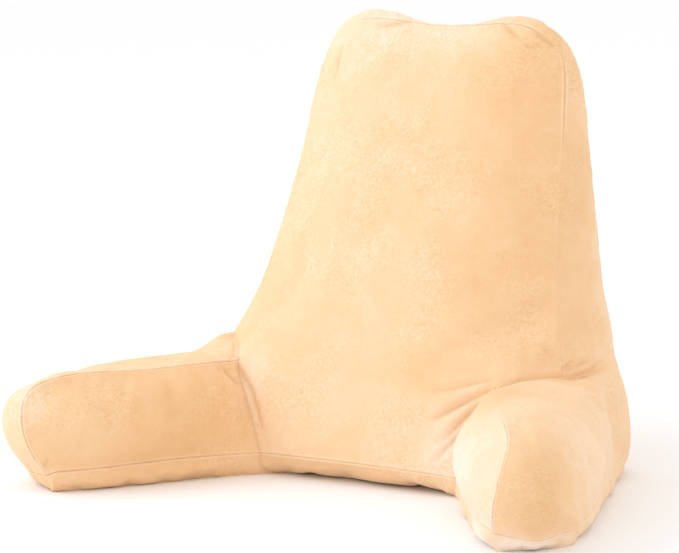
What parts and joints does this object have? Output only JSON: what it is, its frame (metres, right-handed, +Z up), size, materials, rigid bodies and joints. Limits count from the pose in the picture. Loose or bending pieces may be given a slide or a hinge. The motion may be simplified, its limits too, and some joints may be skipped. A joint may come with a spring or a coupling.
{
  "type": "reading pillow",
  "caption": "Backrest pillow with a leaning padded back, rounded ears and splayed arms, in peach velour.",
  "frame": {"origin": "bottom centre of the bounding box, on the surface that the pillow stands on", "axes": "+X towards the right arm as seen by someone facing the pillow, +Y towards the pillow's back, +Z up; the sitter faces -Y"},
  "size_m": [0.88, 0.5692, 0.6332],
  "materials": {
    "velour": "short-pile velour, peach"
  },
  "bodies": {
    "root": {"backrest": "velour", "arm_right": "velour", "arm_left": "velour"}
  },
  "joints": []
}
